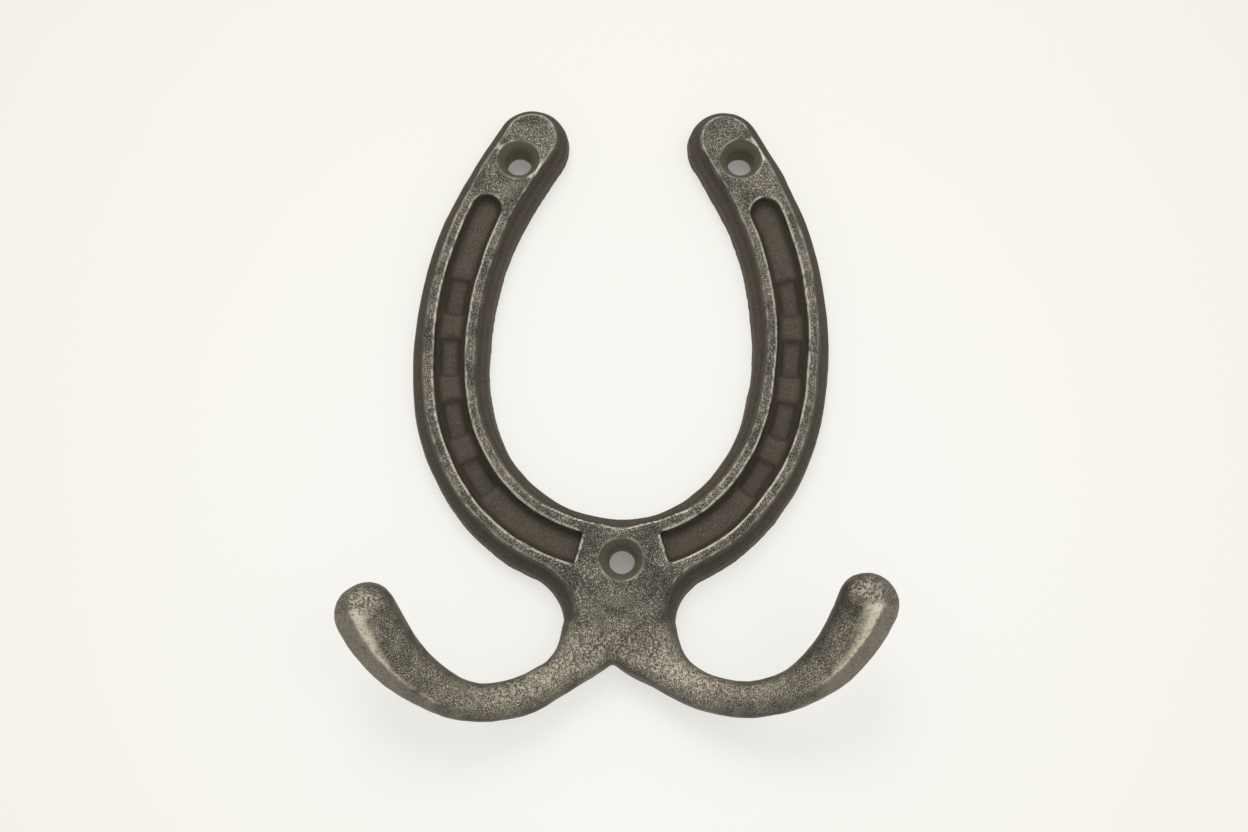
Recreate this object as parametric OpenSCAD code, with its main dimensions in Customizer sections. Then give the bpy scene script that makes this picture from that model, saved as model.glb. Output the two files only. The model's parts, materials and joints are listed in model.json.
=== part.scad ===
// Cast-iron double coat and tack hook in the form of a horseshoe.
// It hangs on a wall: the back face is the plane Y = 0, the front looks along -Y, the heels
// point up +Z, and the origin is on the axis of the lower screw hole at the back face.
//
// Every module below draws in plate coordinates: x across, y up the wall, z out of the wall.
// hang() turns a finished sub-part from plate coordinates into the frame above.

/* [Shoe section] */
// Height of the raised face above the wall
plate_t = 8; // [7:0.5:10]
// Height of the lower ledge that runs round the raised face
ledge_t = 4.6; // [4:0.2:5.4]
// Width of a branch at the back face
branch_w = 17.9; // [17:0.1:19]
// How far each side wall leans in between the back face and the ledge
wall_draft = 0.5; // [0.1:0.1:1]
// Width of the raised face
rim_w = 12.2; // [11:0.1:13]

/* [Fuller groove] */
// Width of the groove at the raised face
groove_w = 7.4; // [6:0.1:8]
// Width of the groove floor
groove_floor_w = 5; // [4:0.1:5.6]
// Depth of the groove
groove_d = 2.6; // [1.5:0.1:3]
// Number of blind nail pockets in each groove
pocket_count = 4; // [0:1:4]
// Length of a nail pocket
pocket_len = 9; // [5:0.5:10]
// Depth of a nail pocket below the groove floor
pocket_d = 1.1; // [0.5:0.1:2]
// Distance from one nail pocket to the next along the branch
pocket_pitch = 14.6; // [13:0.1:15.5]

/* [Screw holes] */
// Diameter of the screw shank holes
shank_d = 5.8; // [4.5:0.1:6.5]
// Diameter of the countersinks at the raised face
sink_d = 9.8; // [8:0.1:10.5]
// Depth of the countersinks
sink_depth = 3.2; // [2:0.1:4]
// Height of the heel screw holes above the toe screw hole
hole_rise = 94.6; // [94:0.1:95.2]
// Distance of the left heel screw hole from the middle
hole_left = 24.2; // [23.8:0.1:24.6]
// Distance of the right heel screw hole from the middle
hole_right = 27.9; // [27.4:0.1:28.4]

/* [Neck between the hooks] */
// Radius of the hollow on each side of the neck, at the back face
neck_r = 10.8; // [10:0.1:11.5]
// Height of the hollows' centres, where the hooks begin
neck_y = -13.4; // [-14:0.1:-13]

/* [Hidden] */

iron = [0.29, 0.28, 0.26];
worn_iron = [0.36, 0.35, 0.32];
$fn = 96;
// Width of the small flats that stand for rounded edges
edge = 0.5;
// Distance between the points of a branch's outline, and points round its heel
step = 2.2;
end_points = 25;
// Points along the toe plate's hollow, its outer edge and its inner edge
hollow_n = 18;
outer_n = 4;
inner_n = 12;

// Height of the branches' centreline at the toe
toe_y = 1.2;
// Centreline of each branch as tangent arcs [radius, turn in degrees], from the toe to the heel.
// The pattern was made by hand, so the two sides differ a little.
right_arcs = [[34, 41], [46, 36], [81, 41.5]];
left_arcs = [[38, 56], [44.5, 29], [86, 36.5]];
// Straight length of a heel after its last arc, up to the centre of its round end
heel_straight = 10.2;
// Length of the last arc that belongs to the heel
heel_lead = 5.6;
// Turn of the first arc that belongs to the toe plate
toe_turn = 34;
// Where the groove starts along the branch, and how far before the heel it ends
groove_from = 9.6;
groove_to_heel = 4.6;
// Length over which each end of a nail pocket slopes down
pocket_slope = 0.3;
// Middle of the first nail pocket along the branch
left_pocket_from = 38.6;
right_pocket_from = 36.8;

// Stations along each hook arm: [x, y] of the edge that faces the hollow, [x, y] of the outer
// edge, height z of the middle, and half thickness
left_stations = [
    [-13.1, neck_y, -1.7, neck_y, 4, 4],
    [-13.5, -16.6, -1.7, -18.4, 4, 4],
    [-14.4, -19.3, -2.4, -22.7, 4, 4],
    [-15.8, -21.4, -7.4, -26, 4.3, 4],
    [-17.8, -23.2, -13.8, -30.3, 5.2, 4],
    [-23.9, -26.2, -21.3, -34.2, 7.2, 4],
    [-30.6, -27.4, -31, -35.8, 10.4, 4.1],
    [-36.9, -25.1, -41.1, -33.7, 14.5, 4.5],
    [-41.9, -20.2, -49.7, -28.8, 19, 5.2],
    [-45.4, -14.9, -55.8, -22.7, 22.8, 5.9],
    [-47.8, -10.8, -59, -17.6, 25.4, 6.1],
];
right_stations = [
    [12.1, neck_y, -1.6, neck_y, 4, 4],
    [12.4, -16.6, -1.6, -18.4, 4, 4],
    [13.2, -19.5, -1.4, -22.9, 4, 4],
    [14.6, -21.8, 5.2, -26.6, 4.4, 4],
    [16.7, -23.7, 12, -30.6, 5.6, 4],
    [20.3, -25.7, 18.3, -33.3, 7.2, 4],
    [27.6, -27, 28, -34.8, 10.4, 4.1],
    [35.3, -24.8, 38.7, -32.8, 14.5, 4.5],
    [40.4, -19.8, 48, -27.8, 19, 5.2],
    [43.7, -14.1, 54.3, -20.7, 22.8, 5.9],
    [45.7, -9.1, 57.5, -14.9, 25.4, 6.1],
];
// Length of the round end beyond the last station
tip_len = 6;
// Rings between two stations, rings in the round end, and points round a ring
ring_steps = 3;
tip_rings = 5;
ring_points = 30;
// Squareness of a hook's section at its root and along the arm (2 is an ellipse)
root_power = 12;
arm_power = 2.5;
// Rings over which the root's squareness fades, and the ring where the flank begins
root_rings = 10;
flank_from = 14;
// Depth of the flat flank on a hook's outer side, and the angle that it leans forward
flank_d = 0.7;
flank_lean = 42;

// ---------- branch path ----------

function arc_len(a) = a[0] * a[1] * PI / 180;
function path_len(arcs, n = 0) = n == len(arcs) ? 0 : arc_len(arcs[n]) + path_len(arcs, n + 1);

// Point and heading [x, y, degrees] reached after distance s along one arc, then straight on
function walk(p, a, s) =
    let (turn = s / a[0] * 180 / PI,
         centre = [p[0] - a[0] * sin(p[2]), p[1] + a[0] * cos(p[2])],
         h = p[2] + turn)
    [centre[0] + a[0] * sin(h), centre[1] - a[0] * cos(h), h];
function straight(p, s) = [p[0] + s * cos(p[2]), p[1] + s * sin(p[2]), p[2]];
function path_at(arcs, s, n = 0, p = [0, toe_y, 0]) =
    n == len(arcs) ? straight(p, s)
    : s <= arc_len(arcs[n]) ? walk(p, arcs[n], s)
    : path_at(arcs, s - arc_len(arcs[n]), n + 1, walk(p, arcs[n], arc_len(arcs[n])));

function toe_s(arcs) = arcs[0][0] * toe_turn * PI / 180;
function heel_s(arcs) = path_len(arcs) - heel_lead;
function groove_s(arcs) = heel_s(arcs) - groove_to_heel;

// ---------- outlines ----------

// Points beside the path from s0 to s1, off to the outer side (+) or the inner side (-)
function beside(arcs, s0, s1, off) =
    let (n = ceil((s1 - s0) / step))
    [for (i = [0:n]) let (p = path_at(arcs, s0 + (s1 - s0) * i / n))
        [p[0] + off * sin(p[2]), p[1] - off * cos(p[2])]];

// Half a turn round the path's point at s, from the outer side to the inner side
function round_end(arcs, s, r) =
    let (p = path_at(arcs, s))
    [for (i = [1:end_points - 1]) let (a = p[2] - 90 + 180 * i / end_points)
        [p[0] + r * cos(a), p[1] + r * sin(a)]];

function reversed(points) = [for (i = [len(points) - 1:-1:0]) points[i]];

// Lane of half width w along the path, flat at s0 and flat or round at s1
function lane(arcs, s0, s1, w, is_round = false) = concat(
    beside(arcs, s0, s1, w),
    is_round ? round_end(arcs, s1, w) : [],
    reversed(beside(arcs, s0, s1, -w)));

// Right half of the toe plate, w from the branch's centreline: up the neck's hollow, out along
// the branch's outer edge to the cut, and back along its inner edge
function toe_half(arcs, w) =
    let (r = neck_r + branch_w / 2 - w,
         centre_y = toe_y + arcs[0][0],
         reach = arcs[0][0] + w + r,
         hollow_x = sqrt(reach * reach - pow(centre_y - neck_y, 2)),
         meet = asin(hollow_x / reach),
         outer = arcs[0][0] + w,
         inner = arcs[0][0] - w)
    concat(
        [for (i = [0:hollow_n]) let (a = 180 - (90 - meet) * i / hollow_n)
            [hollow_x + r * cos(a), neck_y + r * sin(a)]],
        [for (i = [1:outer_n]) let (a = meet + (toe_turn - meet) * i / outer_n)
            [outer * sin(a), centre_y - outer * cos(a)]],
        [for (i = [inner_n:-1:0]) let (a = toe_turn * i / inner_n)
            [inner * sin(a), centre_y - inner * cos(a)]]);
function toe_outline(w) =
    let (left = reversed(toe_half(left_arcs, w)))
    concat(toe_half(right_arcs, w), [for (i = [1:len(left) - 1]) [-left[i][0], left[i][1]]]);

// Ends of the toe plate's solid: a strip across the neck, then a fan from each outer corner to
// the inner edge, and the face between the fans
function toe_end() =
    let (corner = hollow_n + outer_n,
         middle = corner + inner_n + 1,
         n = 2 * middle + 1)
    concat(
        [for (k = [0:corner - 1]) [k, k + 1, n - 2 - k, n - 1 - k]],
        [[for (k = [corner:middle]) k],
         concat([n - 1 - corner], [for (k = [middle:n - 2 - corner]) k]),
         [corner, middle, n - 1 - corner]]);

// ---------- solids from outlines ----------

// Half width and height of the casting's section, from the back face to the raised face.
// The small flats at the edges stand for their rounding.
function profile() = [
    [branch_w / 2, 0],
    [branch_w / 2 - wall_draft, ledge_t - edge],
    [branch_w / 2 - wall_draft - edge, ledge_t],
    [rim_w / 2 + edge, ledge_t + edge],
    [rim_w / 2, plate_t - edge],
    [rim_w / 2 - edge, plate_t],
];

function at_height(points, z) = [for (p = points) [p[0], p[1], z]];

// Closed solid through rings of n points each. An end is a list of convex faces, each a list of
// point numbers round the ring.
module skin(rings, first_end, last_end) {
    m = len(rings);
    n = len(rings[0]);
    polyhedron(
        points = [for (r = rings, v = r) v],
        faces = concat(
            first_end,
            [for (i = [0:m - 2], k = [0:n - 1])
                [i * n + k, (i + 1) * n + k, (i + 1) * n + (k + 1) % n]],
            [for (i = [0:m - 2], k = [0:n - 1])
                [i * n + k, (i + 1) * n + (k + 1) % n, i * n + (k + 1) % n]],
            [for (f = last_end) [for (k = reversed(f)) (m - 1) * n + k]]),
        convexity = 8);
}

// End of a lane: a strip of faces from one side of it to the other
function strip_end(n) = [for (k = [0:n / 2 - 2]) [k, k + 1, n - 2 - k, n - 1 - k]];

// Solid with outlines of one lane at several widths and heights, [half width, height]
module lane_solid(arcs, s0, s1, levels, is_round) {
    rings = [for (q = levels) at_height(lane(arcs, s0, s1, q[0], is_round), q[1])];
    ends = strip_end(len(rings[0]));
    skin(rings, ends, ends);
}

// ---------- cuts ----------

module screw_hole() {
    translate([0, 0, -1]) cylinder(d = shank_d, h = plate_t + 2);
    translate([0, 0, plate_t - sink_depth])
        cylinder(d1 = shank_d, d2 = sink_d, h = sink_depth);
    translate([0, 0, plate_t]) cylinder(d = sink_d, h = 1);
}

// Sloping groove from s0 to s1; it reaches 1 mm above the raised face
module groove(arcs, s0, s1) {
    lean = (groove_w - groove_floor_w) / 2 / groove_d;
    lane_solid(arcs, s0, s1, [[groove_floor_w / 2, plate_t - groove_d],
                              [groove_w / 2 + lean, plate_t + 1]], false);
}

// ---------- regions of the shoe ----------

// Half sections of a branch from the foot of its wall to its middle, [distance out, height].
// past is how far the section lies beyond the centre of the groove's round end, and drop is the
// depth of a nail pocket there.
function groove_half(past) =
    let (top_r = groove_w / 2,
         floor_r = groove_floor_w / 2,
         steep = groove_d / (top_r - floor_r))
    past >= top_r ? [[2.4, plate_t], [2.1, plate_t]]
    : [[sqrt(top_r * top_r - past * past), plate_t],
       [past < 0.9 * floor_r ? sqrt(floor_r * floor_r - past * past) : 0.8 * (top_r - past),
        plate_t - groove_d + steep * max(0, past - floor_r)]];
function branch_half(past, drop) =
    let (half = groove_half(past), in = half[1][0])
    concat(profile(), half, [[0.9 * in, half[1][1]], [0.8 * in, half[1][1] - drop]]);

// Section at distance s as a ring of points, from the outer foot over the top to the inner foot
function branch_ring(arcs, s, past, drop) =
    let (p = path_at(arcs, s), half = branch_half(past, drop), n = len(half))
    [for (k = [0:2 * n - 1])
        let (q = k < n ? half[k] : half[2 * n - 1 - k], off = k < n ? q[0] : -q[0])
        [p[0] + off * sin(p[2]), p[1] - off * cos(p[2]), q[1]]];

// Faces that close a branch's section: across it below its raised part, then that part. Points
// 0 to 5 are the profile, 6 and 7 the groove's edge and floor, 8 and 9 the nail pocket's.
function low_faces(n) = [for (k = [0:2]) [k, k + 1, n - 2 - k, n - 1 - k]];
function grooved_end(n) = concat(
    low_faces(n),
    [[3, 4, 5, 6, 7], [n - 4, n - 8, n - 7, n - 6, n - 5],
     [3, 7, 8, 9, n - 10, n - 9, n - 8, n - 4]]);
function plain_end(n) = concat(
    low_faces(n),
    [[3, 4, n - 5, n - 4], concat([4], [for (k = [5:n - 6]) k], [n - 5])]);

// Rings over a stretch of a branch that has the same section all along
function stretch(arcs, s0, s1, past = 0, drop = 0) =
    let (n = ceil((s1 - s0) / step))
    [for (i = [0:n]) branch_ring(arcs, s0 + (s1 - s0) * i / n, past, drop)];

// Rings over nail pocket i, whose middle is at distance s, and up to the next change of section
function pocket_rings(arcs, s, i) = concat(
    stretch(arcs, s - pocket_len / 2 + pocket_slope, s + pocket_len / 2 - pocket_slope,
            drop = pocket_d),
    stretch(arcs, s + pocket_len / 2, i + 1 < pocket_count
            ? s + pocket_pitch - pocket_len / 2 : groove_s(arcs)));

// Rings round the end of the groove, then plain up to the heel
function end_rings(arcs) = concat(
    [for (a = [12, 25, 38, 50, 62, 73, 83])
        let (past = groove_w / 2 * sin(a)) branch_ring(arcs, groove_s(arcs) + past, past, 0)],
    stretch(arcs, groove_s(arcs) + groove_w / 2, heel_s(arcs), past = groove_w / 2));

module branch(arcs, first_pocket) {
    rings = concat(
        stretch(arcs, toe_s(arcs), pocket_count > 0 ? first_pocket - pocket_len / 2
                                                    : groove_s(arcs)),
        [for (i = [0:1:pocket_count - 1], r = pocket_rings(arcs, first_pocket + i * pocket_pitch, i))
            r],
        end_rings(arcs));
    skin(rings, grooved_end(len(rings[0])), plain_end(len(rings[0])));
}

module heel(arcs, hole_x) {
    difference() {
        lane_solid(arcs, heel_s(arcs), path_len(arcs) + heel_straight, profile(), true);
        translate([hole_x, hole_rise]) screw_hole();
    }
}

// ---------- hook arm ----------

function catmull(a, b, c, d, t) =
    0.5 * (2 * b + (c - a) * t + (2 * a - 5 * b + 4 * c - d) * t * t
           + (3 * b - a - 3 * c + d) * t * t * t);
function spline(p, k) = let (n = len(p) - 1) concat(
    [for (i = [0:n - 1], j = [0:k - 1])
        catmull(i == 0 ? 2 * p[0] - p[1] : p[i - 1], p[i], p[i + 1],
                i == n - 1 ? 2 * p[n] - p[n - 1] : p[i + 2], j / k)],
    [p[n]]);
function unit(v) = v / norm(v);
function power(x, e) = sign(x) * pow(abs(x), e);
function middle(s) = [(s[0] + s[2]) / 2, (s[1] + s[3]) / 2, s[4]];
function tangent(r, i) =
    i == 0 ? [0, -1, 0] : unit(middle(r[min(i + 1, len(r) - 1)]) - middle(r[i - 1]));

// One ring of points about centre c of a section that faces along t, for station s scaled by
// size. Its outer side is squared off at the root, and has a flat flank of this depth along the
// arm. turn is 1 for the left arm and -1 for the right.
function ring(s, c, t, size, square, flank, turn) =
    let (across = [s[0] - s[2], s[1] - s[3], 0],
         side = unit(across),
         out = unit(cross(side, t)) * turn,
         a = norm(across) / 2 * size,
         b = s[5] * size,
         q = arm_power / (arm_power - 1),
         reach = pow(pow(a * cos(flank_lean), q) + pow(b * sin(flank_lean), q), 1 / q) - flank)
    [for (k = [0:ring_points - 1])
        let (ang = 360 * k / ring_points * turn,
             e = cos(ang) > 0 ? arm_power : square,
             x = a * power(cos(ang), 2 / e),
             y = b * power(sin(ang), 2 / e),
             over = square > arm_power ? 0
                  : max(0, y * sin(flank_lean) - x * cos(flank_lean) - reach))
        c + side * (x + over * cos(flank_lean)) + out * (y - over * sin(flank_lean))];

module hook(stations, turn) {
    r = spline(stations, ring_steps);
    last = len(r) - 1;
    t_end = tangent(r, last);
    arm = [for (i = [0:last])
        ring(r[i], middle(r[i]), tangent(r, i), 1,
             arm_power + (root_power - arm_power) * max(0, 1 - i / root_rings),
             flank_d * max(0, min(1, (i - flank_from) / (last - flank_from) * 1.6)), turn)];
    tip = [for (j = [1:tip_rings])
        let (f = 90 * j / (tip_rings + 0.3))
        ring(r[last], middle(r[last]) + t_end * tip_len * sin(f), t_end, cos(f), arm_power,
             flank_d * cos(f), turn)];
    ends = [[for (k = [0:ring_points - 1]) k]];
    skin(concat(arm, tip), ends, ends);
}

// ---------- sub-parts ----------

module hang() rotate([90, 0, 0]) children();

module mirror_left() mirror([1, 0, 0]) children();

module toe_plate() color(iron) hang() difference() {
    skin([for (q = profile()) at_height(toe_outline(q[0]), q[1])], toe_end(), toe_end());
    groove(right_arcs, groove_from, toe_s(right_arcs) + 1);
    mirror_left() groove(left_arcs, groove_from, toe_s(left_arcs) + 1);
    screw_hole();
}

module left_branch() color(iron) hang() mirror_left() branch(left_arcs, left_pocket_from);

module right_branch() color(iron) hang() branch(right_arcs, right_pocket_from);

module left_heel() color(iron) hang() mirror_left() heel(left_arcs, hole_left);

module right_heel() color(iron) hang() heel(right_arcs, hole_right);

module left_hook() color(worn_iron) hang() hook(left_stations, 1);

module right_hook() color(worn_iron) hang() hook(right_stations, -1);

toe_plate();
left_branch();
right_branch();
left_heel();
right_heel();
left_hook();
right_hook();
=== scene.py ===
"""Cast-iron horseshoe coat hook: the looks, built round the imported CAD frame.

The seven CAD nodes are regions of one casting. Their solids are joined and remeshed into one
skin, which is softened as a casting is, given its surface, and cut back into seven pieces along
the planes where the nodes meet.
"""

import json
import math

import bmesh
import bpy
import numpy as np
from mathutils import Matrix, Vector


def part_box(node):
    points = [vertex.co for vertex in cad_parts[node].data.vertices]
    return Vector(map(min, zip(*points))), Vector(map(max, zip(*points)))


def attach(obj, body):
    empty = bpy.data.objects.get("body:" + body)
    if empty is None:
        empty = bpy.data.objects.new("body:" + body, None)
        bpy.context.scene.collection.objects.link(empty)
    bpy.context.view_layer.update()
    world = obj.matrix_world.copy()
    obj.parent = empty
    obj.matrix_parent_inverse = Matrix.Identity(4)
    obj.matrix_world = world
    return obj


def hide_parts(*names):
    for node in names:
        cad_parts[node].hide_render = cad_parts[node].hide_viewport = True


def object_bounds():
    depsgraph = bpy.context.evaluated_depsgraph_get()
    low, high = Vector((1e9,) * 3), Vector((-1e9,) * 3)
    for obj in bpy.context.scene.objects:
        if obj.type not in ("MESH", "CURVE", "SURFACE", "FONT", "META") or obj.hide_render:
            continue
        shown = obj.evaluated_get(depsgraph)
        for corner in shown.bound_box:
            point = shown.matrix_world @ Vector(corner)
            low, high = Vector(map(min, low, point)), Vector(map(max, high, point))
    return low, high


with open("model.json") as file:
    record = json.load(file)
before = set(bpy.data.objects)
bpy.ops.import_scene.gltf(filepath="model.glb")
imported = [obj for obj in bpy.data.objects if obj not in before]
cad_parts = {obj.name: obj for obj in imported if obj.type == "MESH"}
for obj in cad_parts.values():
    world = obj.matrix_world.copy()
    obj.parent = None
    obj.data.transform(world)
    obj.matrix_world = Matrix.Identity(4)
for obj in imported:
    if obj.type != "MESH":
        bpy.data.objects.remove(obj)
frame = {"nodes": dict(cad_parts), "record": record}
CAD_LO, CAD_HI = [np.array(c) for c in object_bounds()]

# All lengths are in metres. A pair of numbers is where a soft step begins and where it is complete.
FINE_VOXEL = 0.00034
VOXEL = FINE_VOXEL
NODES = frame["nodes"]
PLATE_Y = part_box("left_branch")[0].y      # the raised face, towards the viewer
NECK_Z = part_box("toe_plate")[0].z         # where the hooks begin
HOOK_Y = PLATE_Y * 1.3                    # all iron further out than this is hook
SPLIT_X = (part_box("left_hook")[1].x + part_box("right_hook")[0].x) / 2

# Softening: rounds of smoothing, and the casting's unevenness
SKIN_ROUNDS, GROOVE_ROUNDS, NECK_ROUNDS = 3, 14, 50
DRIFT_SIZE, DRIFT = 0.0062, (0.00020, 0.00008, 0.00020)
RIPPLE_SIZE, RIPPLE = 0.0023, 0.00006
BOX_MARGIN = 0.00002

# Where the neck is eased into the arms: how fast that fades up and down, where it begins and ends
# sideways from the middle, and how far out from the wall it begins
NECK_FADE = 0.0042
NECK_INNER, NECK_OUTER, NECK_OUT = (0.0045, 0.0085), (0.019, 0.015), (0.0022, 0.0042)
# The notch between the arms: its reach sideways, and up and down from the neck's edge
NOTCH_SIDE, NOTCH_TOP = (0.0045, 0.0020), (0.003, -0.001)

# Heights over the wall between which the ledge and the groove's floor lie, and of the raised face
LOW_FROM, LOW_TO = (0.0030, 0.0036), (0.0069, 0.0063)
RAISED = (0.0064, 0.0074)

# How far from a joint's middle the cutting planes reach
BRANCH_REACH, NECK_REACH, SPLIT_REACH = 0.0145, 0.020, 0.014
HEEL_DROP = 0.015                         # a heel reaches this far below its meeting plane

# Surface masks: how far a worn edge stands out, how far a hollow lies back (for its painted shade), the
# countersinks' radius, and how far in from the tips the polish and its painted highlight, the bare end
# and the painted lighter flank reach
EDGE = (0.000023, 0.000034)
HOLLOW = (0.00001, 0.00012)
COUNTERSINK = (0.0053, 0.0046)
POLISH_HIGHLIGHT_REACH, POLISH_HIGHLIGHT_START, FLANK_LIGHT_REACH = (0.034, 0.012), (0.0020, 0.0055), (0.040, 0.026)


# ---------------------------------------------------------------- numeric noise

def lattice(ix, iy, iz, seed):
    """A fixed pseudo-random number in 0..1 for each lattice point."""
    h = (ix * 374761393 + iy * 668265263 + iz * 2147483647 + seed * 1274126177) & 0x7FFFFFFF
    h = ((h ^ (h >> 13)) * 1103515245 + 12345) & 0x7FFFFFFF
    h = ((h ^ (h >> 15)) * 214013 + 2531011) & 0x7FFFFFFF
    return (h & 0xFFFF) / 65535.0


def noise(co, size, seed=0):
    """Smooth noise in -1..1 whose features are about `size` metres across."""
    p = co / size
    base = np.floor(p).astype(np.int64)
    f = p - base
    f = f * f * (3 - 2 * f)
    total = np.zeros(len(co))
    for dx in (0, 1):
        for dy in (0, 1):
            for dz in (0, 1):
                w = (np.where(dx, f[:, 0], 1 - f[:, 0]) * np.where(dy, f[:, 1], 1 - f[:, 1])
                     * np.where(dz, f[:, 2], 1 - f[:, 2]))
                total += w * lattice(base[:, 0] + dx, base[:, 1] + dy, base[:, 2] + dz, seed)
    return total * 2 - 1


def smoothstep(lo, hi, x):
    t = np.clip((x - lo) / (hi - lo), 0, 1)
    return t * t * (3 - 2 * t)


# ---------------------------------------------------------------- one skin from the CAD nodes

def joined_skin():
    bm = bmesh.new()
    for name in sorted(NODES):
        bm.from_mesh(NODES[name].data)
    bmesh.ops.remove_doubles(bm, verts=bm.verts, dist=1e-7)
    mesh = bpy.data.meshes.new("casting")
    bm.to_mesh(mesh)
    bm.free()
    obj = bpy.data.objects.new("casting", mesh)
    bpy.context.scene.collection.objects.link(obj)
    remesh = obj.modifiers.new("remesh", "REMESH")
    remesh.mode = "VOXEL"
    remesh.voxel_size = VOXEL
    made = bpy.data.meshes.new_from_object(obj.evaluated_get(bpy.context.evaluated_depsgraph_get()))
    bpy.data.objects.remove(obj)
    bpy.data.meshes.remove(mesh)
    return made


def arrays(mesh):
    co = np.empty(len(mesh.vertices) * 3, np.float32)
    mesh.vertices.foreach_get("co", co)
    edges = np.empty(len(mesh.edges) * 2, np.int32)
    mesh.edges.foreach_get("vertices", edges)
    return co.reshape(-1, 3).astype(float), edges.reshape(-1, 2)


def spread(values, edges, times=1):
    """Each vertex takes the mean of itself and its neighbours, some number of times."""
    n = len(values)
    count = np.bincount(edges.ravel(), minlength=n).astype(float)
    flat = values.reshape(n, -1)
    for _ in range(times):
        total = np.empty_like(flat)
        for k in range(flat.shape[1]):
            total[:, k] = (np.bincount(edges[:, 0], flat[edges[:, 1], k], n)
                           + np.bincount(edges[:, 1], flat[edges[:, 0], k], n))
        flat = 0.5 * flat + 0.5 * total / np.maximum(count, 1)[:, None]
    return flat.reshape(values.shape)


def normals_of(mesh):
    n = np.empty(len(mesh.vertices) * 3, np.float32)
    mesh.vertex_normals.foreach_get("vector", n)
    return n.reshape(-1, 3).astype(float)


def ease(co, edges, where, times):
    """Extra smoothing of one region, with 0..1 weights."""
    for _ in range(times):
        co = co + (spread(co, edges) - co) * where[:, None]
    return co


def soften(mesh):
    """The casting's rounding and unevenness."""
    co, edges = arrays(mesh)
    fineness = (FINE_VOXEL / VOXEL) ** 2
    co = spread(co, edges, max(1, round(SKIN_ROUNDS * fineness)))
    # the groove and the ledge are softer than the ground raised face
    shoe = co[:, 2] > NECK_Z + 0.003
    low = shoe * smoothstep(*LOW_FROM, -co[:, 1]) * smoothstep(*LOW_TO, -co[:, 1])
    co = ease(co, edges, low, round(GROOVE_ROUNDS * fineness))
    # the neck runs on into the arms, and the arms into each other
    off = np.abs(co[:, 0] - SPLIT_X)
    near = np.exp(-((co[:, 2] - NECK_Z) / NECK_FADE) ** 2) * smoothstep(*NECK_INNER, off)
    near *= smoothstep(*NECK_OUTER, off) * smoothstep(*NECK_OUT, -co[:, 1])
    top, bottom = (NECK_Z + step for step in NOTCH_TOP)
    notch = smoothstep(*NOTCH_SIDE, off) * smoothstep(top, bottom, co[:, 2])
    where = np.maximum(near, notch) * (co[:, 1] > PLATE_Y * 1.4)
    co = ease(co, edges, where, round(NECK_ROUNDS * fineness))
    drift = np.stack([noise(co, DRIFT_SIZE, seed) for seed in (11, 12, 13)], 1)
    ripple = np.stack([noise(co, RIPPLE_SIZE, seed) for seed in (21, 22, 23)], 1)
    co = co + drift * DRIFT + ripple * RIPPLE
    co = np.clip(co, CAD_LO + BOX_MARGIN, CAD_HI - BOX_MARGIN)
    mesh.vertices.foreach_set("co", co.astype(np.float32).ravel())
    mesh.update()


# ---------------------------------------------------------------- cutting it into the nodes

def meeting_plane(a, b):
    """Middle of the flat face where two nodes meet, and its normal from a to b."""
    own = [np.array([v.co for v in NODES[n].data.vertices]) for n in (a, b)]
    keys = [{tuple(np.round(p * 2e5).astype(int)) for p in c} for c in own]
    shared = np.array([p for p in own[0] if tuple(np.round(p * 2e5).astype(int)) in keys[1]])
    middle = shared.mean(0)
    normal = np.linalg.svd(shared - middle)[2][-1]
    if normal @ (own[1].mean(0) - own[0].mean(0)) < 0:
        normal = -normal
    return middle, normal


PLANES = {}
for side in ("left", "right"):
    PLANES[side + "_toe"] = meeting_plane("toe_plate", side + "_branch")
    PLANES[side + "_heel"] = meeting_plane(side + "_branch", side + "_heel")


def cut(bm, middle, normal, reach, low=None):
    """Cut the faces within reach of the middle along a plane; past low in y they stay whole."""
    faces = [f for f in bm.faces if (f.calc_center_median() - Vector(middle)).length < reach
             and (low is None or f.calc_center_median().y > low)]
    geom = set(faces)
    for f in faces:
        geom.update(f.verts)
        geom.update(f.edges)
    bmesh.ops.bisect_plane(bm, geom=list(geom), dist=2e-6, plane_co=Vector(middle),
                           plane_no=Vector(normal))


def cut_lines(mesh):
    bm = bmesh.new()
    bm.from_mesh(mesh)
    for middle, normal in PLANES.values():
        cut(bm, middle, normal, BRANCH_REACH)
    cut(bm, (SPLIT_X, PLATE_Y / 2, NECK_Z), (0, 0, 1), NECK_REACH, HOOK_Y)
    cut(bm, (SPLIT_X, PLATE_Y / 2, NECK_Z - 0.004), (1, 0, 0), SPLIT_REACH)
    bm.to_mesh(mesh)
    bm.free()
    mesh.update()


def owners(centres):
    """Name of the node that each face centre belongs to."""
    x, y, z = centres.T

    def beyond(key):
        middle, normal = PLANES[key]
        return (centres - middle) @ normal > 0

    hook = (z < NECK_Z) | (y < HOOK_Y)
    left = x < SPLIT_X
    out = np.full(len(centres), "toe_plate", dtype=object)
    for side, mine in (("left", left), ("right", ~left)):
        out[mine & ~hook & beyond(side + "_toe")] = side + "_branch"
        high = z > PLANES[side + "_heel"][0][2] - HEEL_DROP
        out[mine & ~hook & high & beyond(side + "_heel")] = side + "_heel"
        out[mine & hook] = side + "_hook"
    return out


# ---------------------------------------------------------------- surface masks

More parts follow.
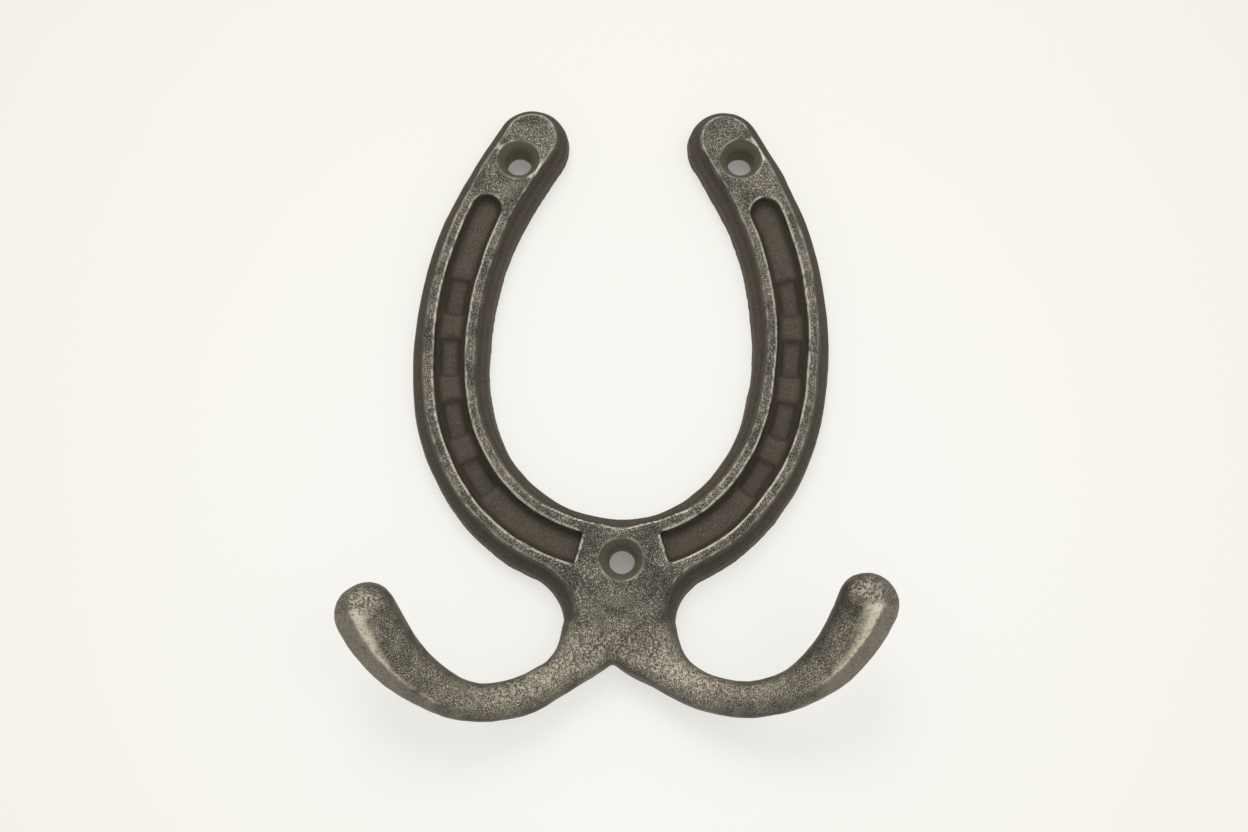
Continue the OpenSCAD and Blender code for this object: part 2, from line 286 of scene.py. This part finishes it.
def masks(mesh):
    """Per-vertex numbers in 0..1 that the materials read."""
    co, edges = arrays(mesh)
    nor = normals_of(mesh)

    def bulge(c, passes):
        """How far a vertex stands out from its smoothed surroundings, in metres."""
        return ((c - spread(c, edges, passes)) * nor).sum(1)

    scale = VOXEL / FINE_VOXEL
    fine = spread(bulge(co, 3), edges, 1) / scale
    broad = bulge(co, 24) / scale
    depth = -co[:, 1]
    arms = np.maximum(smoothstep(NECK_Z + 0.001, NECK_Z - 0.007, co[:, 2]),
                      depth > -HOOK_Y)
    top = np.maximum(smoothstep(*RAISED, depth), arms)
    front = smoothstep(0.35, 0.9, -nor[:, 1])
    sheltered = np.maximum(1 - top, smoothstep(0.05, 0.60, nor[:, 1]))
    # painted highlight: the crowns of the arms, where they face front and up towards the light
    crown_highlight = arms * smoothstep(0.72, 0.98, nor @ np.array([0.0, -0.94, 0.34]))
    polish_and_highlight, flank = np.zeros(len(co)), np.zeros(len(co))
    for end, sign in ((CAD_LO[0], -1), (CAD_HI[0], 1)):
        inward = (end - co[:, 0]) * sign
        # painted light: the flanks near the tips that face out and down are coloured lighter
        outward = nor @ np.array([0.66 * sign, -0.38, -0.65])
        flank = np.maximum(flank, smoothstep(*FLANK_LIGHT_REACH, inward) * smoothstep(0.74, 0.88, outward))
        # tips: polished bare metal, plus a painted highlight where they face front and slightly down
        facing = nor @ np.array([0.22 * sign, -0.88, -0.42])
        polish_and_highlight = np.maximum(polish_and_highlight, smoothstep(*POLISH_HIGHLIGHT_REACH, inward) * smoothstep(0.86, 0.97, facing)
                            * smoothstep(*POLISH_HIGHLIGHT_START, inward))
    hole = np.zeros(len(co))
    for m in frame["record"]["mounts"]:
        if m["kind"] == "bore":
            x, _, z = m["pos_m"]
            r = np.hypot(co[:, 0] - x, co[:, 2] - z)
            hole = np.maximum(hole, smoothstep(*COUNTERSINK, r))
    hole *= smoothstep(0.85, 0.45, nor[:, 1])      # not on the back face
    # hollow marks the hollows for painted shade
    return {"edge": smoothstep(*EDGE, fine) * top,
            "hollow": smoothstep(*HOLLOW, -broad),
            "raised": front * top * (1 - hole), "low": sheltered * (1 - hole),
            "crown_highlight": crown_highlight, "tip": polish_and_highlight * arms * (1 - flank), "flank": flank * arms, "hole": hole,
            "rubbed": smoothstep(NECK_Z - 0.002, NECK_Z - 0.014, co[:, 2]) * front}


# ---------------------------------------------------------------- materials

# FLANK_LIGHT_GREY is painted light: the lighter grey of the hooks' outward, downward flanks
FLANK_LIGHT_GREY = (0.235, 0.205, 0.165)
CONE_OLIVE = (0.160, 0.150, 0.108)
SAND_DEPTH = 0.00024


class Tree:
    """A short way to write a material's nodes."""

    def __init__(self, name):
        self.mat = bpy.data.materials.new(name)
        self.mat.use_nodes = True
        self.nt = self.mat.node_tree
        self.nt.nodes.clear()
        self.out = self.add("ShaderNodeOutputMaterial")
        self.coords = self.add("ShaderNodeTexCoord").outputs["Object"]

    def add(self, kind, **props):
        n = self.nt.nodes.new(kind)
        for k, v in props.items():
            setattr(n, k, v)
        return n

    def put(self, socket, value):
        if isinstance(value, bpy.types.NodeSocket):
            self.nt.links.new(value, socket)
        else:
            socket.default_value = value

    def attr(self, name):
        return self.add("ShaderNodeAttribute", attribute_name=name).outputs["Fac"]

    def noise(self, scale, detail=2.0, rough=0.5, seed=0.0):
        n = self.add("ShaderNodeTexNoise")
        shift = self.add("ShaderNodeMapping")
        shift.inputs["Location"].default_value = (seed, seed * 0.7, seed * 1.3)
        self.put(shift.inputs["Vector"], self.coords)
        self.put(n.inputs["Vector"], shift.outputs[0])
        n.inputs["Scale"].default_value = scale
        n.inputs["Detail"].default_value = detail
        n.inputs["Roughness"].default_value = rough
        return n.outputs["Fac"]

    def math(self, op, a, b=0.0, c=0.0, clamp=False):
        n = self.add("ShaderNodeMath", operation=op, use_clamp=clamp)
        for i, v in enumerate((a, b, c)):
            self.put(n.inputs[i], v)
        return n.outputs[0]

    def ramp(self, value, lo, hi, a=0.0, b=1.0):
        n = self.add("ShaderNodeMapRange", interpolation_type="SMOOTHSTEP")
        for k, v in (("Value", value), ("From Min", lo), ("From Max", hi), ("To Min", a), ("To Max", b)):
            self.put(n.inputs[k], v)
        return n.outputs[0]

    def mix(self, fac, a, b):
        n = self.add("ShaderNodeMix", data_type="RGBA")
        self.put(n.inputs[0], fac)
        self.put(n.inputs[6], (*a, 1) if isinstance(a, tuple) else a)
        self.put(n.inputs[7], (*b, 1) if isinstance(b, tuple) else b)
        return n.outputs[2]


def iron(name, dark, brown, grey, worn_and_highlight):
    """Old blackened cast iron: sandy grain, brown in the hollows, bare along its edges, painted shade
    and light.
    """
    t = Tree(name)
    edge, hollow, raised, low, crown_highlight, tip, flank, hole, rubbed = (
        t.attr(a) for a in ("edge", "hollow", "raised", "low", "crown_highlight", "tip", "flank", "hole",
                            "rubbed"))
    grain = t.noise(7500, 1.0, 0.5)
    speck = t.noise(4700, 1.5, 0.6, 3.1)
    pits = t.noise(1500, 3.0, 0.65, 6.9)
    cloud = t.noise(190, 3.0, 0.55, 5.7)
    broken = t.noise(620, 3.0, 0.6, 8.3)

    # sandy ground: grey on the raised face, brown below it
    rusty = t.mix(t.ramp(cloud, 0.40, 0.62, 0.0, 0.45), brown, dark)
    colour = t.mix(t.math("MULTIPLY", low, 0.9), t.mix(t.ramp(cloud, 0.36, 0.66), dark, grey), rusty)
    spots = t.math("MULTIPLY", t.ramp(speck, 0.56, 0.63), t.ramp(cloud, 0.3, 0.65, 0.45, 1.0))
    spots = t.math("MULTIPLY", spots, t.ramp(raised, 0.0, 1.0, 0.12, 0.72))
    colour = t.mix(spots, colour, worn_and_highlight)
    colour = t.mix(t.math("MULTIPLY", t.ramp(speck, 0.47, 0.38), t.ramp(raised, 0.0, 1.0, 0.15, 0.65)),
                   colour, dark)
    # painted shade: darker deep in the hollows, less so on the ledge and in the groove
    colour = t.mix(t.math("MULTIPLY", hollow, t.ramp(low, 0.0, 1.0, 0.75, 0.35)), colour, dark)
    colour = t.mix(t.math("MULTIPLY", rubbed, t.ramp(speck, 0.44, 0.60, 0.0, 0.26)), colour, worn_and_highlight)
    # painted light: lighter grey on the hooks' outward, downward flanks
    colour = t.mix(t.math("MULTIPLY", flank, t.ramp(pits, 0.35, 0.60, 0.35, 0.9)), colour,
                   FLANK_LIGHT_GREY)
    colour = t.mix(hole, colour, CONE_OLIVE)

    # bare metal along the edges, painted highlight streaks on the crowns of the arms, and at their tips
    # polished bare metal with a painted highlight
    line = t.math("MULTIPLY", edge, t.ramp(broken, 0.34, 0.52, 0.25, 1.0))
    # painted highlight: a bright broken streak along the crowns of the arms
    crown_highlight_streak = t.math("MULTIPLY", crown_highlight, t.ramp(pits, 0.48, 0.60, 0.0, 0.42))
    polish_and_highlight = t.math("MULTIPLY", tip, t.ramp(pits, 0.37, 0.51, 0.40, 1.0))
    # the bare colour is partly real wear and partly painted highlight
    bare_and_highlight = t.math("MAXIMUM", line, t.math("MAXIMUM", crown_highlight_streak, polish_and_highlight))
    colour = t.mix(bare_and_highlight, colour, worn_and_highlight)

    rough = t.ramp(speck, 0.35, 0.65, 0.60, 0.44)
    rough = t.math("SUBTRACT", rough, t.math("MULTIPLY", bare_and_highlight, 0.14))
    rough = t.math("ADD", rough, t.math("MULTIPLY", low, 0.16), clamp=True)

    height = t.math("ADD", t.math("MULTIPLY", speck, 0.7), t.math("MULTIPLY", grain, 0.25))
    height = t.math("ADD", height, t.math("MULTIPLY", pits, t.ramp(crown_highlight, 0.0, 1.0, 0.7, 1.4)))
    height = t.math("MULTIPLY", height, t.math("SUBTRACT", 1.0, t.math("MULTIPLY", low, 0.55)))
    height = t.math("MULTIPLY", height, t.math("SUBTRACT", 1.0, t.math("MULTIPLY", hole, 0.7)))
    bump = t.add("ShaderNodeBump")
    bump.inputs["Strength"].default_value = 0.6
    bump.inputs["Distance"].default_value = SAND_DEPTH
    t.put(bump.inputs["Height"], height)

    shader = t.add("ShaderNodeBsdfPrincipled")
    shader.inputs["Metallic"].default_value = 0.5
    t.put(shader.inputs["Base Color"], colour)
    t.put(shader.inputs["Roughness"], rough)
    t.put(shader.inputs["Normal"], bump.outputs[0])
    t.put(t.out.inputs["Surface"], shader.outputs[0])
    return t.mat


MATERIALS = {
    "cast_iron": iron("cast_iron", (0.033, 0.029, 0.022), (0.080, 0.062, 0.044),
                      (0.092, 0.082, 0.064), (0.52, 0.48, 0.39)),
    "worn_iron": iron("worn_iron", (0.042, 0.036, 0.027), (0.105, 0.088, 0.064),
                      (0.110, 0.097, 0.075), (0.66, 0.60, 0.48)),
}


# ---------------------------------------------------------------- pieces

def make_piece(name, mesh, faces, values, nor):
    """The part of the skin that stands for one node, closed with flat faces where it was cut."""
    bm = bmesh.new()
    co = [v.co for v in mesh.vertices]
    index, verts, source = {}, [], []
    for f in faces:
        for i in f:
            if i not in index:
                index[i] = len(verts)
                verts.append(bm.verts.new(co[i]))
                source.append(i)
    for f in faces:
        bm.faces.new([verts[index[i]] for i in f])
    skin_faces = len(bm.faces)
    rim = [e for e in bm.edges if e.is_boundary]
    if rim:
        bmesh.ops.holes_fill(bm, edges=rim, sides=0)
    bm.faces.ensure_lookup_table()
    caps = bm.faces[skin_faces:]
    bmesh.ops.recalc_face_normals(bm, faces=bm.faces)
    if caps:
        bmesh.ops.triangulate(bm, faces=caps, ngon_method="EAR_CLIP")
    out = bpy.data.meshes.new(name)
    bm.to_mesh(out)
    bm.free()
    out.update()
    source = np.array(source)
    for key, v in values.items():
        a = out.attributes.new(key, "FLOAT", "POINT")
        a.data.foreach_set("value", v[source].astype(np.float32))
    # smooth shading that runs on over the cuts, and flat faces on the cuts themselves
    n_loops = len(out.loops)
    loop_vert = np.empty(n_loops, np.int32)
    out.loops.foreach_get("vertex_index", loop_vert)
    split = nor[source][loop_vert]
    for p in out.polygons[skin_faces:]:
        split[p.loop_start:p.loop_start + p.loop_total] = p.normal
    out.polygons.foreach_set("use_smooth", np.ones(len(out.polygons), bool))
    out.normals_split_custom_set(split.tolist())
    obj = bpy.data.objects.new(name, out)
    bpy.context.scene.collection.objects.link(obj)
    return obj


def build():
    mesh = joined_skin()
    soften(mesh)
    cut_lines(mesh)
    values, nor = masks(mesh), normals_of(mesh)
    centres = np.empty(len(mesh.polygons) * 3, np.float32)
    mesh.polygons.foreach_get("center", centres)
    owner = owners(centres.reshape(-1, 3).astype(float))
    for node in sorted(NODES):
        faces = [tuple(mesh.polygons[i].vertices) for i in np.nonzero(owner == node)[0]]
        obj = make_piece(node + "_iron", mesh, faces, values, nor)
        slot = "worn_iron" if node.endswith("hook") else "cast_iron"
        obj.data.materials.append(MATERIALS[slot])
        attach(obj, "root")
        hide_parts(node)
    bpy.data.meshes.remove(mesh)


build()


# ---------------------------------------------------------------- backdrop, light, camera

WALL_GAP = 0.0006
# The camera looks slightly up at the casting from below its middle
CAMERA_AT, CAMERA_TILT, CAMERA_LENS = (0.0005, -0.3786, -0.0620), 14.3, 49.04


def wall():
    """A pale wall just behind the casting, seen from its front only. Like a lit studio backdrop
    it glows a little, so shadows on it are faint, and it darkens slightly outwards. Its own
    coordinates are x to the right and y up the wall."""
    t = Tree("pale_wall")
    shader = t.add("ShaderNodeBsdfPrincipled")
    shader.inputs["Base Color"].default_value = (0.28, 0.278, 0.265, 1)
    shader.inputs["Roughness"].default_value = 0.9
    shader.inputs["Specular IOR Level"].default_value = 0.1
    far = t.add("ShaderNodeVectorMath", operation="LENGTH")
    t.put(far.inputs[0], t.coords)
    # painted light: the glow is brightest in the middle and fades outwards
    glow = t.mix(t.ramp(far.outputs["Value"], 0.04, 0.26), (0.628, 0.623, 0.596),
                 (0.559, 0.538, 0.483))
    for m in frame["record"]["mounts"]:
        if m["kind"] == "bore":      # painted shadow: the glow is dimmed behind the screw holes, where no light gets in
            x, _, z = m["pos_m"]
            hole_shadow = t.add("ShaderNodeVectorMath", operation="DISTANCE")
            t.put(hole_shadow.inputs[0], t.coords)
            hole_shadow.inputs[1].default_value = (x, z, 0)
            glow = t.mix(t.ramp(hole_shadow.outputs["Value"], 0.0046, 0.0038), glow, (0.20, 0.196, 0.182))
    t.put(shader.inputs["Emission Color"], glow)
    shader.inputs["Emission Strength"].default_value = 1.0
    clear = t.add("ShaderNodeBsdfTransparent")
    pick = t.add("ShaderNodeMixShader")
    t.put(pick.inputs[0], t.add("ShaderNodeNewGeometry").outputs["Backfacing"])
    t.put(pick.inputs[1], shader.outputs[0])
    t.put(pick.inputs[2], clear.outputs[0])
    t.put(t.out.inputs["Surface"], pick.outputs[0])
    bpy.ops.mesh.primitive_plane_add(size=4, location=(0, CAD_HI[1] + WALL_GAP, 0),
                                     rotation=(math.pi / 2, 0, 0))
    obj = bpy.context.object
    obj.name = "wall"
    obj.data.materials.append(t.mat)


def area(name, place, aim, size, power, colour=(1, 1, 1)):
    data = bpy.data.lights.new(name, "AREA")
    data.shape, data.size, data.energy, data.color = "DISK", size, power, colour
    obj = bpy.data.objects.new(name, data)
    obj.location = place
    obj.rotation_euler = (Vector(aim) - Vector(place)).to_track_quat("-Z", "Y").to_euler()
    bpy.context.scene.collection.objects.link(obj)


def set_up():
    wall()
    world = bpy.data.worlds.new("studio")
    bpy.context.scene.world = world
    world.use_nodes = True
    back = world.node_tree.nodes["Background"]
    back.inputs["Color"].default_value = (1.0, 0.995, 0.965, 1)
    back.inputs["Strength"].default_value = 0.70
    area("key", (-0.12, -0.85, 0.62), (0, 0, 0.03), 0.6, 4.6, (1.0, 0.985, 0.95))
    area("fill", (0.45, -0.85, 0.05), (0, 0, 0.03), 0.6, 1.4, (1.0, 0.99, 0.97))
    camera = bpy.data.cameras.new("camera")
    camera.sensor_width, camera.lens = 36, CAMERA_LENS
    camera.clip_start, camera.clip_end = 0.01, 10
    obj = bpy.data.objects.new("camera", camera)
    obj.location = CAMERA_AT
    obj.rotation_euler = (math.radians(90 + CAMERA_TILT), 0, 0)
    bpy.context.scene.collection.objects.link(obj)
    bpy.context.scene.camera = obj
    bpy.context.scene.view_settings.view_transform = "Standard"


set_up()
